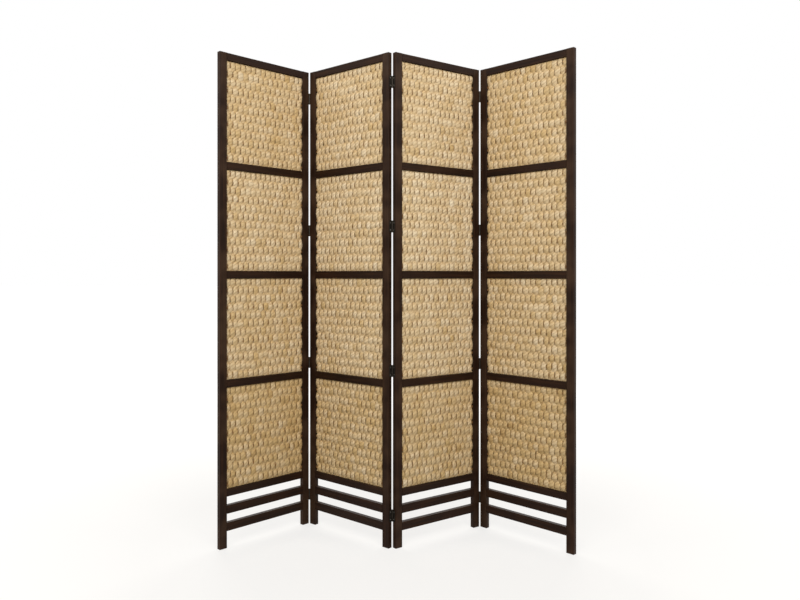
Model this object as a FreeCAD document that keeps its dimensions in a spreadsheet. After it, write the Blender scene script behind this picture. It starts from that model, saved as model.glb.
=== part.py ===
import FreeCAD, Part
import os

import Sketcher

# A zigzag folding screen: framed leaves with woven rope mats, joined edge to edge by butt hinges.
# Leaf frame: X along the leaf from its left edge, Y from its front to its back, Z up from the floor.
# All lengths are in millimetres and all angles in degrees.
SIZES = {
    # Leaves: overall size, and the angle of each in plan from the screen's own X axis
    "screen_height": 1780,
    "leaf_width": 408,
    "frame_thickness": 18,
    "leaf_1_angle": 44.2,
    "leaf_2_angle": -41.6,
    "leaf_3_angle": 35.2,
    "leaf_4_angle": -45.8,
    # Frame bars, from the floor up
    "stile_width": 30,
    "leg_height": 60,
    "slat_height": 30,
    "slat_gap": 32,
    "rail_height": 27,
    "edge_chamfer": 1.2,
    "mat_rows": 4,
    # The groove in each stile's inner edge, and the stub tenons in it and in the slats' mortises
    "groove_width": 5.2,
    "groove_depth": 12.5,
    "tenon_shoulder": 4,
    "tenon_fit": 0.1,
    "tenon_end_gap": 0.5,
    # Woven mats and the flat splints that they are woven round, which end in the same groove
    "mat_thickness": 12,
    "mat_fit": 0.3,
    "splints_per_mat": 12,
    "splint_height": 8,
    "splint_fit": 0.1,
    "splint_end_gap": 0.3,
    # Butt hinges: the barrel stands at the face towards which the leaves fold, partly between their edges
    "hinges_per_fold": 4,
    "hinge_height": 43,
    "hinge_from_floor": 115,
    "hinge_from_top": 104,
    "plate_gap": 0.6,
    "barrel_radius": 2.1,
    "barrel_recess": 0.9,
    "pin_radius": 1,
    "pin_fit": 0.05,
    "pin_proud": 0.4,
    "plate_thickness": 1,
    "plate_reach": 14,
    "plate_corner": 2.5,
    "middle_knuckle": 14.2,
    "knuckle_gap": 0.2,
}
LEAF_ANGLES = tuple(alias for alias in SIZES if alias.endswith("_angle"))
SLAT_NAMES = ("lower_slat", "upper_slat")

# Derived distances, as expressions on the sheet's sizes
OPENING_WIDTH = "(sizes.leaf_width - 2 * sizes.stile_width)"
SLAT_PITCH = "(sizes.slat_height + sizes.slat_gap)"
PANEL_BASE = f"(sizes.leg_height + {len(SLAT_NAMES)} * {SLAT_PITCH})"
OPENING_HEIGHT = (
    f"((sizes.screen_height - {PANEL_BASE} - (sizes.mat_rows + 1) * sizes.rail_height) / sizes.mat_rows)"
)
ROW_PITCH = f"({OPENING_HEIGHT} + sizes.rail_height)"
SPLINT_PITCH = f"({OPENING_HEIGHT} / sizes.splints_per_mat)"
HALF_GROOVE = "(sizes.groove_width / 2)"
HALF_TENON = f"({HALF_GROOVE} - sizes.tenon_fit)"
HALF_SPLINT = f"({HALF_GROOVE} - sizes.splint_fit)"
HALF_GAP = "(sizes.plate_thickness + sizes.plate_gap / 2)"
BARREL_CLEAR = "(sizes.barrel_radius + sizes.knuckle_gap)"
PIVOT_PROUD = "(sizes.barrel_radius - sizes.barrel_recess)"
PIVOT_OFFSET = f"(sizes.frame_thickness / 2 + {PIVOT_PROUD})"
HINGE_SPAN = "(sizes.screen_height - sizes.hinge_from_floor - sizes.hinge_from_top)"

UP = FreeCAD.Vector(0, 0, 1)
HALF_TURN = 180

doc = FreeCAD.newDocument("folding_screen")
sheet = doc.addObject("Spreadsheet::Sheet", "sizes")
for row, (alias, number) in enumerate(SIZES.items(), start=1):
    sheet.set(f"A{row}", alias)
    sheet.set(f"B{row}", str(number))
    sheet.setAlias(f"B{row}", alias)
doc.recompute()


def value(expression):
    """The number that an expression on the sheet's sizes gives."""
    return float(sheet.evalExpression(expression))


def size(alias):
    return value(f"sizes.{alias}")


# Drawing helpers


def new_body(label):
    body = doc.addObject("PartDesign::Body", label)
    body.Label = label
    return body


def origin_feature(body, role):
    return next(feature for feature in body.Origin.OriginFeatures if feature.Role == role)


def new_sketch(body, plane, name, offset=None):
    """A sketch on one of the body's origin planes, or at an offset along that plane's normal."""
    sketch = body.newObject("Sketcher::SketchObject", name)
    sketch.AttachmentSupport = [(origin_feature(body, plane), "")]
    sketch.MapMode = "FlatFace"
    if offset:
        sketch.setExpression("AttachmentOffset.Base.z", offset)
    return sketch


def locate(sketch, kind, geometry, expression):
    """Holds a line's start at a distance from the sketch's origin."""
    index = sketch.addConstraint(Sketcher.Constraint(kind, -1, 1, geometry, 1, value(expression)))
    sketch.setExpression(f"Constraints[{index}]", expression)


def draw_rectangle(sketch, left, right, low, high):
    """Four lines at the expressions given, which are distances from the sketch's origin."""
    west, east, south, north = (value(side) for side in (left, right, low, high))
    corners = [
        FreeCAD.Vector(west, south),
        FreeCAD.Vector(east, south),
        FreeCAD.Vector(east, north),
        FreeCAD.Vector(west, north),
    ]
    for start, end in zip(corners, corners[1:] + corners[:1]):
        sketch.addGeometry(Part.LineSegment(start, end))
    for line in range(4):
        sketch.addConstraint(Sketcher.Constraint("Coincident", line, 2, (line + 1) % 4, 1))
        sketch.addConstraint(Sketcher.Constraint("Vertical" if line % 2 else "Horizontal", line))
    locate(sketch, "DistanceX", 0, left)
    locate(sketch, "DistanceY", 0, low)
    locate(sketch, "DistanceX", 2, right)
    locate(sketch, "DistanceY", 2, high)


def draw_circle(sketch, radius):
    """A circle about the sketch's origin."""
    circle = sketch.addGeometry(Part.Circle(FreeCAD.Vector(), UP, value(radius)))
    sketch.addConstraint(Sketcher.Constraint("Coincident", circle, 3, -1, 1))
    index = sketch.addConstraint(Sketcher.Constraint("Radius", circle, value(radius)))
    sketch.setExpression(f"Constraints[{index}]", radius)


def pad(body, sketch, name, length, side="Symmetric"):
    feature = body.newObject("PartDesign::Pad", name)
    feature.Profile = sketch
    feature.SideType = side
    feature.setExpression("Length", length)
    body.Tip = feature
    return feature


def pocket(body, sketch, name, length=None, side="Symmetric"):
    """A cut of the given depth, or right through the body."""
    feature = body.newObject("PartDesign::Pocket", name)
    feature.Profile = sketch
    feature.SideType = side
    if length:
        feature.setExpression("Length", length)
    else:
        feature.Type = "ThroughAll"
    body.Tip = feature
    return feature


def pattern_up(body, name, occurrences, spacing=None, extent=None, features=None):
    """Repeats some features, or else the whole body, up the body's Z axis."""
    doc.recompute()
    feature = body.newObject("PartDesign::LinearPattern", name)
    feature.TransformMode = "Features" if features else "Whole shape"
    feature.Originals = features or []
    feature.Direction = (origin_feature(body, "Z_Axis"), [""])
    feature.Mode = "Spacing" if spacing else "Extent"
    feature.setExpression("Offset" if spacing else "Length", spacing or extent)
    feature.setExpression("Occurrences", occurrences)
    body.Tip = feature
    return feature


def chamfer_edges(body, base, name, chamfer_size, wanted):
    """Chamfers those straight edges of a feature whose two end points meet a test."""
    doc.recompute()
    feature = body.newObject("PartDesign::Chamfer", name)
    ends = [(edge.firstVertex().Point, edge.lastVertex().Point) for edge in base.Shape.Edges]
    names = [f"Edge{index}" for index, pair in enumerate(ends, start=1) if wanted(*pair)]
    feature.Base = (base, names)
    feature.setExpression("Size", chamfer_size)
    body.Tip = feature
    return feature


def runs_along_x(start, end):
    return abs(end.x - start.x) > max(abs(end.y - start.y), abs(end.z - start.z))


def runs_along_z(start, end):
    return abs(end.z - start.z) > max(abs(end.x - start.x), abs(end.y - start.y))


def box_section(body, plane, name, half_thickness, low, high, offset=None):
    """A sketch of one upright rectangle, centred on the leaf's middle plane."""
    sketch = new_sketch(body, plane, name, offset)
    draw_rectangle(sketch, f"-({half_thickness})", half_thickness, low, high)
    return sketch


# Frame bars


def plough(body, name, low, high):
    """A groove or mortise in a stile's inner edge, from the lowest tenon in it to the highest."""
    bottom = f"({low} + sizes.tenon_shoulder - sizes.tenon_fit)"
    top = f"({high} - sizes.tenon_shoulder + sizes.tenon_fit)"
    section = box_section(body, "YZ_Plane", f"{name}_section", HALF_GROOVE, bottom, top, "sizes.stile_width")
    return pocket(body, section, name, "sizes.groove_depth", "One side")


def make_stile(label):
    """An upright from floor to top. X runs from its outer edge to its mortised inner edge."""
    body = new_body(label)
    section = new_sketch(body, "XY_Plane", "post_section")
    draw_rectangle(
        section, "0", "sizes.stile_width", "-sizes.frame_thickness / 2", "sizes.frame_thickness / 2"
    )
    post = pad(body, section, "post", "sizes.screen_height", "One side")
    chamfer_edges(body, post, "eased_edges", "sizes.edge_chamfer", runs_along_z)

    plough(body, "groove", PANEL_BASE, "sizes.screen_height")
    mortise = plough(body, "slat_mortise", "sizes.leg_height", "(sizes.leg_height + sizes.slat_height)")
    pattern_up(body, "slat_mortises", str(len(SLAT_NAMES)), SLAT_PITCH, features=[mortise])
    return body


def make_bar(label, height):
    """A rail or slat with a stub tenon at each end, centred in X, with its underside at Z zero."""
    body = new_body(label)
    section = box_section(body, "YZ_Plane", "bar_section", "sizes.frame_thickness / 2", "0", height)
    bar = pad(body, section, "bar", OPENING_WIDTH)
    chamfer_edges(body, bar, "eased_edges", "sizes.edge_chamfer", runs_along_x)
    tenon_section = box_section(
        body,
        "YZ_Plane",
        "tenon_section",
        HALF_TENON,
        "sizes.tenon_shoulder",
        f"({height} - sizes.tenon_shoulder)",
    )
    pad(body, tenon_section, "tenons", f"{OPENING_WIDTH} + 2 * (sizes.groove_depth - sizes.tenon_end_gap)")
    return body


def make_middle_rails(label):
    body = make_bar(label, "sizes.rail_height")
    pattern_up(body, "rails", "sizes.mat_rows - 1", ROW_PITCH)
    return body


# Woven mats


def make_mat(label):
    """A rope mat as one sleeve of its woven thickness, hollow where its splints pass through."""
    body = new_body(label)
    section = box_section(
        body,
        "YZ_Plane",
        "mat_section",
        "sizes.mat_thickness / 2",
        "sizes.mat_fit",
        f"({OPENING_HEIGHT} - sizes.mat_fit)",
    )
    pad(body, section, "mat", f"{OPENING_WIDTH} - 2 * sizes.mat_fit")
    margin = f"(({SPLINT_PITCH} - sizes.splint_height) / 2 - sizes.splint_fit)"
    hollow_section = box_section(
        body, "YZ_Plane", "hollow_section", HALF_GROOVE, margin, f"({OPENING_HEIGHT} - {margin})"
    )
    pocket(body, hollow_section, "splint_hollow")
    return body


def make_splints(label):
    """The level splints of all the mats of a leaf, seated at both ends in the stiles' grooves."""
    body = new_body(label)
    section = box_section(
        body,
        "YZ_Plane",
        "splint_section",
        HALF_SPLINT,
        f"(({SPLINT_PITCH} - sizes.splint_height) / 2)",
        f"(({SPLINT_PITCH} + sizes.splint_height) / 2)",
    )
    pad(body, section, "splint", f"{OPENING_WIDTH} + 2 * (sizes.groove_depth - sizes.splint_end_gap)")
    pattern_up(body, "splints_of_a_mat", "sizes.splints_per_mat", SPLINT_PITCH)
    pattern_up(body, "splints_of_all_mats", "sizes.mat_rows", ROW_PITCH)
    return body


# Hinges, each drawn about its pin, with the plate along +Y on the edge of a stile


def up_the_fold(body):
    pattern_up(body, "up_the_fold", "sizes.hinges_per_fold", extent=HINGE_SPAN)


def make_plates(label, near, far, knuckle_height):
    """Plates whose thickness runs from near to far in X, each with a barrel round the pin's axis."""
    body = new_body(label)
    plate_end = f"({PIVOT_PROUD} + sizes.plate_reach)"
    plate_section = new_sketch(body, "XY_Plane", "plate_section")
    draw_rectangle(plate_section, near, far, BARREL_CLEAR, plate_end)
    plate = pad(body, plate_section, "plate", "sizes.hinge_height")
    outer_end = value(plate_end)

    def is_outer_corner(start, end):
        return runs_along_x(start, end) and abs(start.y - outer_end) < size("plate_thickness")

    chamfer_edges(body, plate, "outer_corners", "sizes.plate_corner", is_outer_corner)

    neck_section = new_sketch(body, "XY_Plane", "neck_section")
    draw_rectangle(neck_section, near, far, "0", BARREL_CLEAR)
    pad(body, neck_section, "neck", knuckle_height)
    barrel_section = new_sketch(body, "XY_Plane", "barrel_section")
    draw_circle(barrel_section, "sizes.barrel_radius")
    pad(body, barrel_section, "barrel", knuckle_height)
    return body


def make_outer_plates(label):
    """The plates with the upper and lower knuckles, which grip the pin, on the stile at X below zero."""
    far = f"(sizes.plate_thickness - {HALF_GAP})"
    body = make_plates(label, f"-{HALF_GAP}", far, "sizes.hinge_height")
    space_section = new_sketch(body, "XY_Plane", "space_section")
    draw_rectangle(space_section, f"-{BARREL_CLEAR}", BARREL_CLEAR, f"-{BARREL_CLEAR}", BARREL_CLEAR)
    pocket(body, space_section, "knuckle_space", "sizes.middle_knuckle + 2 * sizes.knuckle_gap")
    up_the_fold(body)
    return body


def make_middle_plates(label):
    """The plates with the bored middle knuckle, which turns on the pin, on the stile at X above zero."""
    near = f"({HALF_GAP} - sizes.plate_thickness)"
    body = make_plates(label, near, HALF_GAP, "sizes.middle_knuckle")
    bore_section = new_sketch(body, "XY_Plane", "bore_section")
    draw_circle(bore_section, "(sizes.pin_radius + sizes.pin_fit)")
    pocket(body, bore_section, "pin_bore")
    up_the_fold(body)
    return body


def make_pins(label):
    """Fixed pins, pressed into the outer knuckles and a little proud of them at both ends."""
    body = new_body(label)
    section = new_sketch(body, "XY_Plane", "pin_section")
    draw_circle(section, "sizes.pin_radius")
    pad(body, section, "pin", "sizes.hinge_height + 2 * sizes.pin_proud")
    up_the_fold(body)
    return body


# Places of the leaves and fold lines in plan


def turned(angle):
    return FreeCAD.Rotation(UP, angle)


def fold_side(left_angle, right_angle):
    """-1 where two leaves fold towards the front, 1 where they fold towards the back."""
    return -1 if left_angle > right_angle else 1


def plan_corners(frame):
    """The corners of a leaf's plan, cut back by the chamfers of its stiles."""
    width = size("leaf_width")
    half = size("frame_thickness") / 2
    cut = size("edge_chamfer")
    along_faces = [(x, y) for x in (cut, width - cut) for y in (-half, half)]
    along_ends = [(x, y) for x in (0, width) for y in (cut - half, half - cut)]
    return [frame.multVec(FreeCAD.Vector(x, y, 0)) for x, y in along_faces + along_ends]


def place_leaves():
    """Chains the leaves pivot to pivot, then puts the middle of the plan at the origin."""
    angles = [size(alias) for alias in LEAF_ANGLES]
    frames = [FreeCAD.Placement(FreeCAD.Vector(), turned(angles[0]))]
    pivots = []
    for left_angle, right_angle in zip(angles, angles[1:]):
        depth = fold_side(left_angle, right_angle) * value(PIVOT_OFFSET)
        pivot = frames[-1].multVec(FreeCAD.Vector(size("leaf_width") + value(HALF_GAP), depth, 0))
        to_pivot = turned(right_angle).multVec(FreeCAD.Vector(-value(HALF_GAP), depth, 0))
        frames.append(FreeCAD.Placement(pivot - to_pivot, turned(right_angle)))
        pivots.append(pivot)
    corners = [corner for frame in frames for corner in plan_corners(frame)]
    x_values = [corner.x for corner in corners]
    y_values = [corner.y for corner in corners]
    middle = FreeCAD.Vector(min(x_values) + max(x_values), min(y_values) + max(y_values), 0) / 2
    for frame in frames:
        frame.Base = frame.Base - middle
    return angles, frames, [pivot - middle for pivot in pivots]


def at(frame, x=0, z=0, turn=0):
    """A place in a leaf's middle plane, with a turn about the vertical."""
    return frame.multiply(FreeCAD.Placement(FreeCAD.Vector(x, 0, z), turned(turn)))


# Assembly


def build_leaf(leaf, frame):
    """The frame, mats and splints of one leaf."""
    middle = size("leaf_width") / 2
    base = value(PANEL_BASE)
    first_opening = base + size("rail_height")
    rows = int(size("mat_rows"))
    pieces = {
        make_stile(f"left_stile_{leaf}"): at(frame),
        make_stile(f"right_stile_{leaf}"): at(frame, size("leaf_width"), turn=HALF_TURN),
        make_bar(f"bottom_rail_{leaf}", "sizes.rail_height"): at(frame, middle, base),
        make_middle_rails(f"middle_rails_{leaf}"): at(frame, middle, base + value(ROW_PITCH)),
        make_bar(f"top_rail_{leaf}", "sizes.rail_height"): at(
            frame, middle, size("screen_height") - size("rail_height")
        ),
        make_splints(f"splints_{leaf}"): at(frame, middle, first_opening),
    }
    for place, name in enumerate(SLAT_NAMES):
        height = size("leg_height") + place * value(SLAT_PITCH)
        pieces[make_bar(f"{name}_{leaf}", "sizes.slat_height")] = at(frame, middle, height)
    for row in range(rows):
        height = first_opening + (rows - 1 - row) * value(ROW_PITCH)
        pieces[make_mat(f"woven_mat_{leaf}_{row + 1}")] = at(frame, middle, height)
    return pieces


def build_fold(fold, pivot, left_angle, right_angle):
    """The hinges of one fold line. On a fold towards the back they are turned end for end."""
    lowest = pivot + FreeCAD.Vector(0, 0, size("hinge_from_floor"))
    if fold_side(left_angle, right_angle) < 0:
        left, right, turn = make_outer_plates, make_middle_plates, 0
        pin_angle = left_angle
    else:
        left, right, turn = make_middle_plates, make_outer_plates, HALF_TURN
        pin_angle = right_angle
    return {
        left(f"hinge_plates_left_{fold}"): FreeCAD.Placement(lowest, turned(left_angle + turn)),
        right(f"hinge_plates_right_{fold}"): FreeCAD.Placement(lowest, turned(right_angle + turn)),
        make_pins(f"hinge_pins_{fold}"): FreeCAD.Placement(lowest, turned(pin_angle)),
    }


def check_document(pieces):
    """Stops before anything is written if a feature failed or a piece has no sound solid."""
    failed = [item.Name for item in doc.Objects if {"Invalid", "Error"} & set(item.State)]
    unsound = [piece.Label for piece in pieces if piece.Shape.isNull() or not piece.Shape.isValid()]
    if failed or unsound:
        raise RuntimeError(f"failed features: {failed}; pieces without a sound solid: {unsound}")


def main():
    angles, frames, pivots = place_leaves()
    pieces = {}
    for leaf, frame in enumerate(frames, start=1):
        pieces.update(build_leaf(leaf, frame))
    for fold, pivot in enumerate(pivots, start=1):
        pieces.update(build_fold(fold, pivot, angles[fold - 1], angles[fold]))
        print(f"fold {fold}: pin axis at X {pivot.x:.4f}, Y {pivot.y:.4f}")
    for piece, placement in pieces.items():
        piece.Placement = placement
    doc.recompute()
    check_document(pieces)
    os.makedirs("parts", exist_ok=True)
    for piece in pieces:
        piece.Shape.exportStep(os.path.join("parts", f"{piece.Label}.step"))


main()
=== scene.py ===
import math

import bpy
import numpy as np
from mathutils import Matrix, Vector


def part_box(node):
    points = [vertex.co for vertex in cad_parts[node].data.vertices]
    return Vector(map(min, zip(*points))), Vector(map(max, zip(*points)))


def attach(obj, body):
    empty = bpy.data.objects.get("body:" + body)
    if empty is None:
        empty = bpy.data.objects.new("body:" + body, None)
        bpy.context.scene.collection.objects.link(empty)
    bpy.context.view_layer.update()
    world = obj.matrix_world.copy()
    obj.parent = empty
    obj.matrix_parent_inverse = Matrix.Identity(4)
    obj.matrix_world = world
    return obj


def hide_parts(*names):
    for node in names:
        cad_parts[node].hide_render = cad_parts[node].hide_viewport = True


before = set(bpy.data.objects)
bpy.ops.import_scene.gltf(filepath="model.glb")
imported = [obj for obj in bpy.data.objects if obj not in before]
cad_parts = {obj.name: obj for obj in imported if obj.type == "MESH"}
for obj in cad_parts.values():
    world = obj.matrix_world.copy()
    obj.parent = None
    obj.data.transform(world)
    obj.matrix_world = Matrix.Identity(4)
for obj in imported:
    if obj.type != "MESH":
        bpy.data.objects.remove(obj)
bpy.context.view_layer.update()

# A zigzag folding screen: dark stained frames, rope mats woven round level splints, small dark hinges.
# All lengths are in metres. Leaf frame: X along the leaf from its left edge, Y front to back, Z up.
MM = 0.001
LEAVES = (1, 2, 3, 4)
FOLDS = (1, 2, 3)
MAT_ROWS = (1, 2, 3, 4)
STILES = ("left_stile", "right_stile")
LEVEL_BARS = ("lower_slat", "upper_slat", "bottom_rail", "middle_rails", "top_rail")
UP = Vector((0, 0, 1))

# Weave: a float is the stretch of a strand that lies on top of a splint
SPLINTS_PER_MAT = 12
STRANDS_PER_MAT = 31
PER_FLOAT = (STRANDS_PER_MAT, SPLINTS_PER_MAT)
RINGS_PER_SPLINT = 8
RINGS_PER_MAT = SPLINTS_PER_MAT * RINGS_PER_SPLINT + 1
CROSSING_THICKNESS = 5.6 * MM
FLOAT_THICKNESS = 2.4 * MM
SPLINT_CLEARANCE = 0.15 * MM
SIDE_MARGIN = 0.3 * MM
END_TUCK = 0.5 * MM
INNER_DEPTH = (1.8 * MM, 4.6 * MM)
# Widths of a strand, in strand pitches
CROSSING_WIDTH = 1.2
FLOAT_WIDTH = 1.76
# The power that slows the swing from front to back, and the shares of the swing over which a strand widens
CROSSING_EASE = 1.25
WIDENING = (0.0, 0.45)

# Rope: its section turns with the lay, and a low power makes the section squarer
SECTION_POINTS = 12
SECTION_POWER = 0.4
PLIES = 3
LAY_LENGTH = 38 * MM
PLY_GROOVE = 0.2 * MM

# Unevenness of the weave: the spread of each random draw
SHIFT_SPREAD = 0.09
FULLNESS_SPREAD = 0.09
LEAST_FULLNESS = 0.93
LIFT_SPREAD = 0.2 * MM
SWAY_SPREAD = 0.45 * MM
STRAND_TONE_SPREAD = 0.04
FLOAT_TONE_SPREAD = 0.07
# Floats that stand out: the share of them, and how much darker or paler they are
ODD_FLOATS = ((0.03, -0.15), (0.05, 0.10))
# Each strand's fibres start at a random place, at most this many lay lengths on
FIBRE_START = 50

# Rope colours by tone, from 0 for dark straw to 1 for pale. Mat rows are counted from the top. The row
# tones hold painted shade that darkens the mats towards the bottom, and the leaf tones hold painted light
# that makes the two middle leaves paler.
ROW_PAINTED_SHADE_TONES = {1: 0.51, 2: 0.57, 3: 0.51, 4: 0.385}
LEAF_PAINTED_LIGHT_TONES = {1: 0.0, 2: 0.045, 3: 0.085, 4: -0.01}
ROPE_STOPS = (
    (0.0, (0.375, 0.222, 0.078)),
    (0.3, (0.592, 0.414, 0.186)),
    (0.6, (0.718, 0.562, 0.346)),
    (1.0, (0.855, 0.738, 0.54)),
)
# Painted shade: the recessed parts of the weave, near the middle of the mat, are mixed towards a warmer,
# deeper straw.
RECESS_SHADE_ROPE = (0.72, 0.48, 0.21, 1)
RECESS_SHADE_SHARE = 0.34
# Painted shade: the ply grooves are mixed towards a dark brown, as the creases between plies are shaded.
GROOVE_SHADE_ROPE = (0.33, 0.195, 0.08, 1)
GROOVE_SHADE_SHARE = 0.5
FIBRE_SHARE = 0.35
STREAK_SHARE = 0.35
ROPE_ROUGHNESS = (0.62, 0.8)
ROPE_SPECULAR = 0.3
# Texture scales round a strand and along it
FIBRE_SCALE = (46, 1.6, 1)
STREAK_SCALE = (11, 0.7, 1)

# Wood: texture scales are along the grain and across it
GRAIN_SCALE = (5, 160)
PORE_SCALE = (12, 700)
PATCH_SCALE = 9.0
PATCH_SHARE = 0.35
WOOD_STOPS = (
    (0.42, (0.0076, 0.0027, 0.0010)),
    (0.66, (0.0164, 0.0062, 0.0023)),
    (0.92, (0.034, 0.0136, 0.0054)),
)
RUBBED_WOOD = (0.062, 0.034, 0.019, 1)
RUBBED_SHARE = 0.5
RUBBED_PATCHES = (0.42, 0.62)
GRAIN_RELIEF = 0.6
PORE_RELIEF = 0.4
WOOD_ROUGHNESS = (0.46, 0.62)
WOOD_SPECULAR = 0.12
# The largest part of a surface's direction, on a flat face and on an eased edge
EDGE_DIRECTION = (0.97, 0.8)

# Cane: its colours are a dark brown, partly the cane's own colour and partly painted shade for the gaps
# between floats where the splints show
CANE_SCALE = (6, 420)
CANE_AND_SHADE_STOPS = ((0.3, (0.22, 0.105, 0.03)), (0.7, (0.34, 0.18, 0.06)))
CANE_ROUGHNESS = (0.45, 0.65)

# Metal
MOTTLE_SCALE = 160.0
MOTTLE_STOPS = (0.3, 0.72)
GRIT_SCALE = 1500.0
ROUGHNESS_SWING = (-0.07, 0.1)
BRONZE = {"dark": (0.018, 0.015, 0.012), "light": (0.055, 0.046, 0.036), "roughness": 0.42, "metallic": 0.8}
STEEL = {"dark": (0.20, 0.185, 0.165), "light": (0.34, 0.32, 0.29), "roughness": 0.36, "metallic": 1.0}

# Most of a noise texture's values lie between these
NOISE_RANGE = (0.3, 0.7)

# Hinge screws: the rings of a head and its cross recess are in shares of the head's radius
HINGES_PER_FOLD = 4
HINGE_HEIGHT = 43 * MM
PLATE_THICKNESS = 1.0 * MM
SCREW_SPACING = 26 * MM
SCREW_INSET = 6.5 * MM
SCREW_RADIUS = 2.7 * MM
SCREW_DOME = 0.2 * MM
SCREW_SEGMENTS = 32
SCREW_RINGS = (1.0, 0.96, 0.82, 0.66, 0.5, 0.34, 0.18)
RECESS_REACH = 0.6
RECESS_HALF_WIDTH = 0.17
RECESS_DEPTH = 0.6 * MM

# Floor and surroundings: the glow is near and far, the sky's strength as a source of light and as seen
WHITE = (1, 1, 1, 1)
FLOOR_REACH = 60.0
FLOOR_COLOUR = (0.24, 0.23, 0.213, 1)
FLOOR_ROUGHNESS = 0.9
FLOOR_GLOW = (0.7, 0.96)
GLOW_DISTANCES = (0.9, 3.5)
SKY_STRENGTHS = (0.36, 1.0)

# Square lamps in pairs, left and right of the middle. These are the right ones, with powers in watts.
LAMP_COLOUR = (1.0, 0.985, 0.955)
LAMP_PAIRS = {
    "front": {"place": (1.4, -3.2, 2.9), "target": (0.238, 0, 1.1), "width": 2.0, "power": 71},
    "back": {"place": (1.4, 3.2, 2.9), "target": (0.238, 0, 1.1), "width": 2.0, "power": 66},
    "side": {"place": (2.8, -0.9, 2.6), "target": (-0.3, 0, 1.3), "width": 1.0, "power": 12},
}

# Camera of the photograph, whose frame is 800 by 600 pixels
PHOTO_WIDTH = 800
PHOTO_HEIGHT = 600
FOCAL_PIXELS = 732.4
AXIS_PIXEL = 372.5
HORIZON_PIXEL = 274.9
CAMERA_PLACE = Vector((-0.0806, -2.7367, 0.9812))
SENSOR_WIDTH = 36
VIEW_REACH = 200


def coordinates(node):
    """The corner points of a CAD node, one per row."""
    return np.array([vertex.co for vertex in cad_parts[node].data.vertices])


def reach(node, direction):
    """The lowest and highest place of a CAD node along a direction."""
    places = coordinates(node) @ np.array(direction)
    return float(places.min()), float(places.max())


class Leaf:
    """The place and inner sizes of one leaf, read from the CAD frame."""

    def __init__(self, number):
        self.number = number
        self.body = f"leaf_{number}"
        stiles = [f"{stile}_{number}" for stile in STILES]
        left, right = (sum(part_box(stile), Vector()) / 2 for stile in stiles)
        self.along = (right - left).to_2d().to_3d().normalized()
        self.back = UP.cross(self.along)
        start, inner_start = reach(stiles[0], self.along)
        inner_end, end = reach(stiles[1], self.along)
        front, rear = reach(stiles[0], self.back)
        self.width = end - start
        self.opening = (inner_start - start, inner_end - start)
        self.origin = self.along * start + self.back * (front + rear) / 2
        self.angle = math.atan2(self.along.y, self.along.x)
        axes = Matrix((self.along, self.back, UP)).transposed().to_4x4()
        self.matrix = Matrix.Translation(self.origin) @ axes

    def span(self, node, axis):
        """A node's reach along one of the leaf's axes, from the leaf's own origin."""
        direction = (self.along, self.back, UP)[axis]
        low, high = reach(node, direction)
        shift = self.origin.dot(direction)
        return low - shift, high - shift


# Objects and meshes


def new_mesh(name, points, faces, material):
    mesh = bpy.data.meshes.new(name)
    mesh.from_pydata(points, [], faces)
    mesh.materials.append(material)
    return mesh


def new_object(name, data):
    """An object of the scene with the given mesh, lamp or camera."""
    item = bpy.data.objects.new(name, data)
    bpy.context.scene.collection.objects.link(item)
    return item


def ring_quads(rings, per_ring):
    """Quads between neighbouring rings of points, as indices into these points."""
    quads = []
    for ring in range(rings - 1):
        here = ring * per_ring
        beyond = here + per_ring
        for column in range(per_ring):
            following = (column + 1) % per_ring
            quads.append((here + column, here + following, beyond + following, beyond + column))
    return quads


# Material helpers


def new_material(name):
    material = bpy.data.materials.new(name)
    material.use_nodes = True
    return material, material.node_tree, material.node_tree.nodes["Principled BSDF"]


def add_node(tree, kind, inputs=None, **settings):
    """A node with its settings, whose inputs take values or other nodes' outputs."""
    node = tree.nodes.new(kind)
    for name, value in settings.items():
        setattr(node, name, value)
    for name, value in (inputs or {}).items():
        if isinstance(value, bpy.types.NodeSocket):
            tree.links.new(value, node.inputs[name])
        else:
            node.inputs[name].default_value = value
    return node


def ramp(tree, factor, stops):
    """A colour ramp with (position, colour) stops."""
    node = add_node(tree, "ShaderNodeValToRGB", {"Fac": factor})
    elements = node.color_ramp.elements
    while len(elements) < len(stops):
        elements.new(0.5)
    for element, (position, colour) in zip(elements, stops):
        element.position = position
        element.color = (*colour, 1)
    return node.outputs["Color"]


def math_node(tree, operation, *values, clamp=False):
    node = add_node(tree, "ShaderNodeMath", dict(enumerate(values)), operation=operation, use_clamp=clamp)
    return node.outputs["Value"]


def add_share(tree, base, factor, share):
    """A base value with a share of a factor's swing about one half."""
    swing = math_node(tree, "SUBTRACT", factor, 0.5)
    return math_node(tree, "MULTIPLY_ADD", swing, share, base)


def map_range(tree, value, low, high, to_low=0.0, to_high=1.0):
    inputs = {"Value": value, "From Min": low, "From Max": high, "To Min": to_low, "To Max": to_high}
    return add_node(tree, "ShaderNodeMapRange", inputs).outputs["Result"]


def mix_colour(tree, factor, share, first, second):
    """The first colour with a share of the second, where the factor is 1."""
    inputs = {0: math_node(tree, "MULTIPLY", factor, share), 6: first, 7: second}
    return add_node(tree, "ShaderNodeMix", inputs, data_type="RGBA", blend_type="MIX").outputs[2]


def bump(tree, height, distance, strength=1.0):
    inputs = {"Height": height, "Distance": distance, "Strength": strength}
    return add_node(tree, "ShaderNodeBump", inputs).outputs["Normal"]


def noise(tree, vector, scale=1.0, detail=3.0, roughness=0.55, distortion=0.0):
    inputs = {
        "Vector": vector,
        "Scale": scale,
        "Detail": detail,
        "Roughness": roughness,
        "Distortion": distortion,
    }
    return add_node(tree, "ShaderNodeTexNoise", inputs).outputs["Fac"]


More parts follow.
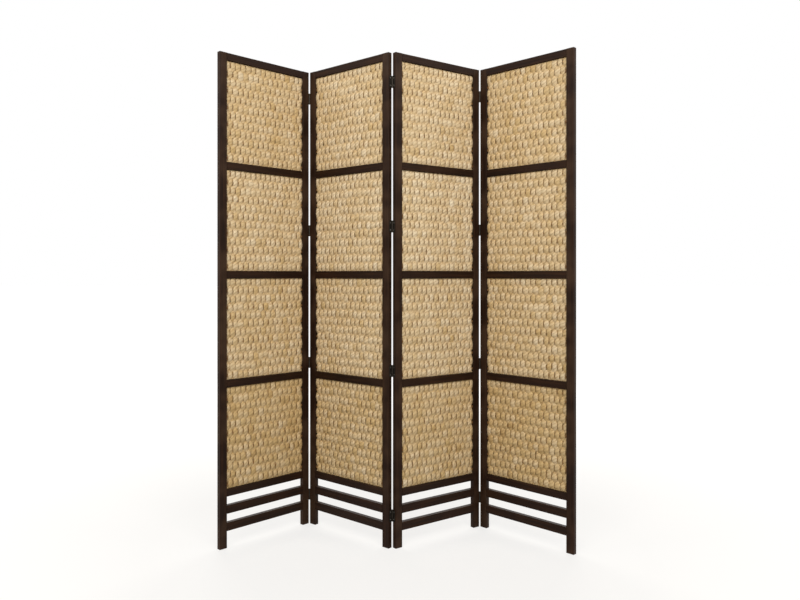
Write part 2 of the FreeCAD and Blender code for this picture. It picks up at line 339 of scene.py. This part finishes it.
def stretched(tree, vector, scale=(1, 1, 1), turn=0):
    """Coordinates turned about the vertical, then stretched along each axis."""
    turned = add_node(tree, "ShaderNodeMapping", {"Vector": vector, "Rotation": (0, 0, turn)})
    inputs = {"Vector": turned.outputs["Vector"], "Scale": scale}
    return add_node(tree, "ShaderNodeMapping", inputs).outputs["Vector"]


def grain_scale(along, across, upright):
    """Texture scales of grain that runs up, or along a level bar."""
    return (across, across, along) if upright else (along, across, across)


# Materials


def stained_wood(name, turn, upright):
    """Dark stained wood with fine straight grain, rubbed paler along its eased edges."""
    material, tree, shader = new_material(name)
    place = add_node(tree, "ShaderNodeTexCoord")
    grain_place = stretched(tree, place.outputs["Object"], grain_scale(*GRAIN_SCALE, upright), turn)
    pore_place = stretched(tree, place.outputs["Object"], grain_scale(*PORE_SCALE, upright), turn)
    grain = noise(tree, grain_place, detail=4.0, roughness=0.6, distortion=0.4)
    pores = noise(tree, pore_place, detail=2.0)
    patches = noise(tree, place.outputs["Object"], PATCH_SCALE, detail=2.0)
    colour = ramp(tree, math_node(tree, "MULTIPLY_ADD", patches, PATCH_SHARE, grain), WOOD_STOPS)
    normal = stretched(tree, place.outputs["Normal"], turn=turn)
    parts = add_node(tree, "ShaderNodeSeparateXYZ", {"Vector": normal})
    sizes = [math_node(tree, "ABSOLUTE", parts.outputs[axis]) for axis in range(3)]
    largest = math_node(tree, "MAXIMUM", math_node(tree, "MAXIMUM", sizes[0], sizes[1]), sizes[2])
    edge = map_range(tree, largest, *EDGE_DIRECTION)
    worn = math_node(tree, "MULTIPLY", edge, map_range(tree, patches, *RUBBED_PATCHES), clamp=True)
    rubbed = mix_colour(tree, worn, RUBBED_SHARE, colour, RUBBED_WOOD)
    tree.links.new(rubbed, shader.inputs["Base Color"])
    tree.links.new(map_range(tree, pores, *NOISE_RANGE, *WOOD_ROUGHNESS), shader.inputs["Roughness"])
    pore_height = math_node(tree, "MULTIPLY", pores, PORE_RELIEF)
    height = math_node(tree, "ADD", math_node(tree, "MULTIPLY", grain, GRAIN_RELIEF), pore_height)
    tree.links.new(bump(tree, height, distance=0.12 * MM, strength=0.7), shader.inputs["Normal"])
    shader.inputs["Specular IOR Level"].default_value = WOOD_SPECULAR
    return material


def rope():
    """Twisted straw rope: each strand and float has its own tone, with fibres along the lay, and painted
    shade in the ply grooves and where the weave is recessed.
    """
    material, tree, shader = new_material("straw_rope")
    tone, groove, recess_shade = (
        add_node(tree, "ShaderNodeAttribute", attribute_name=name).outputs["Fac"]
        for name in ("tone", "groove", "recess_shade")
    )
    winding = add_node(tree, "ShaderNodeUVMap", uv_map="winding").outputs["UV"]
    fibre = noise(tree, stretched(tree, winding, FIBRE_SCALE), detail=4.0, roughness=0.65)
    streak = noise(tree, stretched(tree, winding, STREAK_SCALE), detail=2.0)
    shade = add_share(tree, add_share(tree, tone, fibre, FIBRE_SHARE), streak, STREAK_SHARE)
    faded = ramp(tree, shade, ROPE_STOPS)
    # Painted shade where the weave is recessed.
    colour = mix_colour(tree, recess_shade, RECESS_SHADE_SHARE, faded, RECESS_SHADE_ROPE)
    # Painted shade in the ply grooves.
    groove_shaded = mix_colour(tree, groove, GROOVE_SHADE_SHARE, colour, GROOVE_SHADE_ROPE)
    tree.links.new(groove_shaded, shader.inputs["Base Color"])
    tree.links.new(map_range(tree, fibre, *NOISE_RANGE, *ROPE_ROUGHNESS), shader.inputs["Roughness"])
    tree.links.new(bump(tree, fibre, distance=0.35 * MM, strength=0.8), shader.inputs["Normal"])
    shader.inputs["Specular IOR Level"].default_value = ROPE_SPECULAR
    return material


def cane(turn):
    """Split cane with long fibres, whose dark brown is partly painted shade for the gaps between floats."""
    material, tree, shader = new_material("split_cane")
    place = add_node(tree, "ShaderNodeTexCoord").outputs["Object"]
    fibre = noise(tree, stretched(tree, place, grain_scale(*CANE_SCALE, upright=False), turn))
    tree.links.new(ramp(tree, fibre, CANE_AND_SHADE_STOPS), shader.inputs["Base Color"])
    tree.links.new(map_range(tree, fibre, *NOISE_RANGE, *CANE_ROUGHNESS), shader.inputs["Roughness"])
    tree.links.new(bump(tree, fibre, distance=0.1 * MM), shader.inputs["Normal"])
    return material


def metal(name, dark, light, roughness, metallic):
    """Metal with a fine mottled finish."""
    material, tree, shader = new_material(name)
    place = add_node(tree, "ShaderNodeTexCoord").outputs["Object"]
    mottle = noise(tree, place, MOTTLE_SCALE, detail=4.0, roughness=0.6)
    grit = noise(tree, place, GRIT_SCALE, detail=2.0)
    stops = list(zip(MOTTLE_STOPS, (dark, light)))
    tree.links.new(ramp(tree, mottle, stops), shader.inputs["Base Color"])
    finish = [roughness + change for change in ROUGHNESS_SWING]
    tree.links.new(map_range(tree, mottle, *NOISE_RANGE, *finish), shader.inputs["Roughness"])
    tree.links.new(bump(tree, grit, distance=0.03 * MM, strength=0.5), shader.inputs["Normal"])
    shader.inputs["Metallic"].default_value = metallic
    return material


def paint(node, material):
    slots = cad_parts[node].data.materials
    slots.clear()
    slots.append(material)


# Woven mats


def smoothstep(low, high, value):
    share = np.clip((value - low) / (high - low), 0, 1)
    return share * share * (3 - 2 * share)


def strand_swings(rng, row, floats):
    """How far each strand stands to the back (1) or the front (-1), by strand and ring."""
    side = np.where(np.arange(STRANDS_PER_MAT) % 2 == 0, 1.0, -1.0)[:, None]
    shift = rng.normal(0, SHIFT_SPREAD, (STRANDS_PER_MAT, SPLINTS_PER_MAT + 1))
    shift[:, [0, -1]] = 0
    share = row - floats
    wave = np.sin(np.pi * (row + shift[:, floats] * (1 - share) + shift[:, floats + 1] * share))
    return side * np.sign(wave) * np.abs(wave) ** CROSSING_EASE


def strand_sections(rng, width, thickness, z):
    """The rings of each strand, across and through the mat, and which of their points lie in a groove."""
    start = rng.uniform(0, 2 * np.pi, STRANDS_PER_MAT)
    turn = start[:, None, None] + 2 * np.pi * (z / LAY_LENGTH)[None, :, None]
    columns = np.arange(SECTION_POINTS)
    angle = turn + 2 * np.pi * columns / SECTION_POINTS
    groove = (columns % (SECTION_POINTS // PLIES) == 0).astype(float)
    cos, sin = np.cos(angle), np.sin(angle)
    across = width[..., None] / 2 * np.sign(cos) * np.abs(cos) ** SECTION_POWER
    through = thickness[..., None] / 2 * np.sign(sin) * np.abs(sin) ** SECTION_POWER
    return across - PLY_GROOVE * groove * cos, through - PLY_GROOVE * groove * sin, groove


def strand_tones(rng, mat_tone_and_painted_light, floats, spread):
    """The tone of each strand, by strand and ring."""
    tone = mat_tone_and_painted_light + rng.normal(0, STRAND_TONE_SPREAD, STRANDS_PER_MAT)[:, None]
    tone = tone + rng.normal(0, FLOAT_TONE_SPREAD, PER_FLOAT)[:, floats]
    for share, change in ODD_FLOATS:
        tone = tone + change * (rng.random(PER_FLOAT) < share)[:, floats] * spread
    return tone


def weave(width, height, half_splint, mat_tone_and_painted_light, seed):
    """The points and shades of a mat's strands, by strand, ring and section point.

    Each strand goes over one splint and under the next, and its neighbour the other way. On top of a
    splint it spreads and flattens; between two splints it is gathered and thick.
    """
    rng = np.random.default_rng(seed)
    strands = np.arange(STRANDS_PER_MAT)
    pitch = width / STRANDS_PER_MAT
    row = np.arange(RINGS_PER_MAT) / RINGS_PER_SPLINT
    z = row * height / SPLINTS_PER_MAT
    floats = np.minimum(row.astype(int), SPLINTS_PER_MAT - 1)

    swing = strand_swings(rng, row, floats)
    spread = smoothstep(*WIDENING, np.abs(swing))
    fullness = np.maximum(rng.normal(1.0, FULLNESS_SPREAD, PER_FLOAT), LEAST_FULLNESS)[:, floats]
    section_width = pitch * (CROSSING_WIDTH + (FLOAT_WIDTH * fullness - CROSSING_WIDTH) * spread)
    thickness = CROSSING_THICKNESS + (FLOAT_THICKNESS - CROSSING_THICKNESS) * spread
    lift = half_splint + FLOAT_THICKNESS / 2 + SPLINT_CLEARANCE
    lift = lift + np.abs(rng.normal(0, LIFT_SPREAD, PER_FLOAT))[:, floats] * spread
    y = lift * swing
    sway = rng.normal(0, SWAY_SPREAD, PER_FLOAT)[:, floats] * spread
    x = (strands[:, None] + 0.5) * pitch + sway

    across, through, groove = strand_sections(rng, section_width, thickness, z)
    tilt = np.arctan(np.gradient(y, z, axis=1))[..., None]
    points = np.stack(
        [
            x[..., None] + across,
            y[..., None] + through * np.cos(tilt),
            z[None, :, None] - through * np.sin(tilt),
        ],
        axis=-1,
    )
    points[..., 0] = np.clip(points[..., 0], SIDE_MARGIN, width - SIDE_MARGIN)
    points[..., 2] = np.clip(points[..., 2], 0, height)

    tone = strand_tones(rng, mat_tone_and_painted_light, floats, spread)
    shades = {
        "tone": np.broadcast_to(tone[..., None], across.shape),
        "groove": np.broadcast_to(groove, across.shape),
        # Painted shade mask: 1 deep in the mat near its middle, falling to 0 where a strand stands out.
        "recess_shade": 1 - smoothstep(*INNER_DEPTH, np.abs(points[..., 1])),
    }
    return points, shades, z


def strand_faces():
    """Quads along one strand and its two end caps, as indices into that strand's points."""
    last = (RINGS_PER_MAT - 1) * SECTION_POINTS
    bottom = tuple(reversed(range(SECTION_POINTS)))
    top = tuple(range(last, last + SECTION_POINTS))
    return [*ring_quads(RINGS_PER_MAT, SECTION_POINTS), bottom, top]


def winding_of(faces, z):
    """Texture places of each face corner: round the strand, and along it in lay lengths."""
    corners = []
    for face in faces:
        ring = [index // SECTION_POINTS for index in face]
        column = [index % SECTION_POINTS for index in face]
        wraps = len(face) == 4 and max(column) == SECTION_POINTS - 1 and min(column) == 0
        for where, level in zip(column, ring):
            turned = SECTION_POINTS if wraps and where == 0 else where
            corners.append((turned / SECTION_POINTS, z[level] / LAY_LENGTH))
    return np.array(corners)


def make_mat(leaf, row, material):
    """One mat of rope strands, which stands for the leaf's plain CAD mat."""
    node = f"woven_mat_{leaf.number}_{row}"
    low, high = leaf.span(node, 2)
    low, high = low - END_TUCK, high + END_TUCK
    left, right = leaf.opening
    half_splint = leaf.span(f"splints_{leaf.number}", 1)[1]
    seed = 10 * leaf.number + row
    # The mat's tone holds painted light by leaf and painted shade by row.
    mat_tone_and_painted_light = LEAF_PAINTED_LIGHT_TONES[leaf.number] + ROW_PAINTED_SHADE_TONES[row]
    points, shades, z = weave(right - left, high - low, half_splint, mat_tone_and_painted_light, seed)
    places = points.reshape(-1, 3) + np.array((left, 0, low))
    one_strand = strand_faces()
    per_strand = RINGS_PER_MAT * SECTION_POINTS
    faces = [
        tuple(index + strand * per_strand for index in face)
        for strand in range(STRANDS_PER_MAT)
        for face in one_strand
    ]
    name = f"rope_mat_{leaf.number}_{row}"
    mesh = new_mesh(name, places.tolist(), faces, material)
    for shade, values in shades.items():
        attribute = mesh.attributes.new(shade, "FLOAT", "POINT")
        attribute.data.foreach_set("value", np.ascontiguousarray(values, np.float32).ravel())
    starts = np.random.default_rng(seed).uniform(0, FIBRE_START, STRANDS_PER_MAT)
    corners = winding_of(one_strand, z)
    winding = np.concatenate([corners + (0, start) for start in starts])
    mesh.uv_layers.new(name="winding").data.foreach_set("uv", winding.astype(np.float32).ravel())
    mesh.shade_smooth()
    mat = new_object(name, mesh)
    mat.matrix_world = leaf.matrix
    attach(mat, leaf.body)
    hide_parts(node)


# Hinge screws


def screw_head():
    """Points and faces of a low domed head with a cross recess, about its axis Z."""
    points = []
    for share in SCREW_RINGS:
        for step in range(SCREW_SEGMENTS):
            angle = 2 * math.pi * step / SCREW_SEGMENTS
            x = share * SCREW_RADIUS * math.cos(angle)
            y = share * SCREW_RADIUS * math.sin(angle)
            height = SCREW_DOME * math.sqrt(max(0.0, 1 - share * share))
            in_cross = min(abs(x), abs(y)) < RECESS_HALF_WIDTH * SCREW_RADIUS and share < RECESS_REACH
            points.append((x, y, height - (RECESS_DEPTH if in_cross else 0)))
    last = (len(SCREW_RINGS) - 1) * SCREW_SEGMENTS
    middle = tuple(range(last, last + SCREW_SEGMENTS))
    return np.array(points), [*ring_quads(len(SCREW_RINGS), SCREW_SEGMENTS), middle]


def make_screws(leaf, side, fold, material):
    """The screws of all the hinge plates on one edge of a leaf."""
    node = f"hinge_plates_{side}_{fold}"
    low, high = leaf.span(node, 2)
    front, rear = leaf.span(node, 1)
    # The barrel is on the side that reaches farther, and the screws are set in from the other one
    depth = rear - SCREW_INSET if rear < -front else front + SCREW_INSET
    facing = 1 if side == "left" else -1
    surface = leaf.width + PLATE_THICKNESS if side == "left" else -PLATE_THICKNESS
    head, head_faces = screw_head()
    places = []
    faces = []
    for centre in np.linspace(low + HINGE_HEIGHT / 2, high - HINGE_HEIGHT / 2, HINGES_PER_FOLD):
        for offset in (-SCREW_SPACING / 2, SCREW_SPACING / 2):
            first = len(places)
            for x, y, height in head:
                places.append((surface + facing * height, depth + facing * x, centre + offset + y))
            faces.extend(tuple(first + index for index in face) for face in head_faces)
    name = f"hinge_screws_{side}_{fold}"
    screws = new_object(name, new_mesh(name, places, faces, material))
    screws.matrix_world = leaf.matrix
    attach(screws, leaf.body)


# Floor, light and camera


def seen_directly(tree):
    """1 on rays that come straight from the camera, a mirror or a clear surface."""
    path = add_node(tree, "ShaderNodeLightPath")
    seen = math_node(tree, "MAXIMUM", path.outputs["Is Camera Ray"], path.outputs["Is Glossy Ray"])
    return math_node(tree, "MAXIMUM", seen, path.outputs["Is Transmission Ray"])


def make_floor():
    """A plain pale floor that looks white where no shadow falls on it."""
    material, tree, shader = new_material("floor")
    shader.inputs["Base Color"].default_value = FLOOR_COLOUR
    shader.inputs["Roughness"].default_value = FLOOR_ROUGHNESS
    shader.inputs["Specular IOR Level"].default_value = 0.0
    shader.inputs["Emission Color"].default_value = WHITE
    place = add_node(tree, "ShaderNodeTexCoord").outputs["Object"]
    distance = add_node(tree, "ShaderNodeVectorMath", {0: place}, operation="LENGTH").outputs["Value"]
    strength = map_range(tree, distance, *GLOW_DISTANCES, *FLOOR_GLOW)
    glow = math_node(tree, "MULTIPLY", seen_directly(tree), strength)
    tree.links.new(glow, shader.inputs["Emission Strength"])
    corners = [(x * FLOOR_REACH, y * FLOOR_REACH, 0) for x, y in ((-1, -1), (1, -1), (1, 1), (-1, 1))]
    floor = new_object("floor", new_mesh("floor", corners, [(0, 1, 2, 3)], material))


def make_world():
    """Even white surroundings, seen as plain white and dimmer as a source of light."""
    world = bpy.data.worlds.new("studio")
    world.use_nodes = True
    tree = world.node_tree
    background = tree.nodes["Background"]
    background.inputs["Color"].default_value = WHITE
    strength = map_range(tree, seen_directly(tree), 0, 1, *SKY_STRENGTHS)
    tree.links.new(strength, background.inputs["Strength"])
    bpy.context.scene.world = world


def make_lamp(name, place, target, width, power):
    lamp = bpy.data.lights.new(name, "AREA")
    lamp.shape = "SQUARE"
    lamp.size = width
    lamp.energy = power
    lamp.color = LAMP_COLOUR
    holder = new_object(name, lamp)
    holder.location = place
    holder.rotation_euler = (target - place).to_track_quat("-Z", "Y").to_euler()


def make_lamps():
    for pair, lamp in LAMP_PAIRS.items():
        for side, turn in (("left", -1), ("right", 1)):
            mirror = Vector((turn, 1, 1))
            place = mirror * Vector(lamp["place"])
            target = mirror * Vector(lamp["target"])
            make_lamp(f"{pair}_{side}_lamp", place, target, lamp["width"], lamp["power"])


def make_camera():
    """A level camera, shifted so that its axis meets the picture where the photograph's does."""
    camera = bpy.data.cameras.new("camera")
    camera.sensor_width = SENSOR_WIDTH
    camera.lens = SENSOR_WIDTH * FOCAL_PIXELS / PHOTO_WIDTH
    camera.shift_x = (PHOTO_WIDTH / 2 - AXIS_PIXEL) / PHOTO_WIDTH
    camera.shift_y = (HORIZON_PIXEL - PHOTO_HEIGHT / 2) / PHOTO_WIDTH
    camera.clip_end = VIEW_REACH
    holder = new_object("camera", camera)
    holder.location = CAMERA_PLACE
    holder.rotation_euler = (math.pi / 2, 0, 0)
    bpy.context.scene.camera = holder


def main():
    leaves = {number: Leaf(number) for number in LEAVES}
    upright = stained_wood("stile_wood", 0, upright=True)
    straw = rope()
    bronze = metal("hinge_bronze", **BRONZE)
    steel = metal("pin_steel", **STEEL)
    for number, leaf in leaves.items():
        level = stained_wood(f"rail_wood_{number}", -leaf.angle, upright=False)
        for stile in STILES:
            paint(f"{stile}_{number}", upright)
        for bar in LEVEL_BARS:
            paint(f"{bar}_{number}", level)
        paint(f"splints_{number}", cane(-leaf.angle))
        for row in MAT_ROWS:
            make_mat(leaf, row, straw)
    for fold in FOLDS:
        paint(f"hinge_pins_{fold}", steel)
        for side, number in (("left", fold), ("right", fold + 1)):
            paint(f"hinge_plates_{side}_{fold}", bronze)
            make_screws(leaves[number], side, fold, steel)
    make_floor()
    make_world()
    make_lamps()
    make_camera()
    bpy.context.scene.view_settings.view_transform = "Standard"


main()
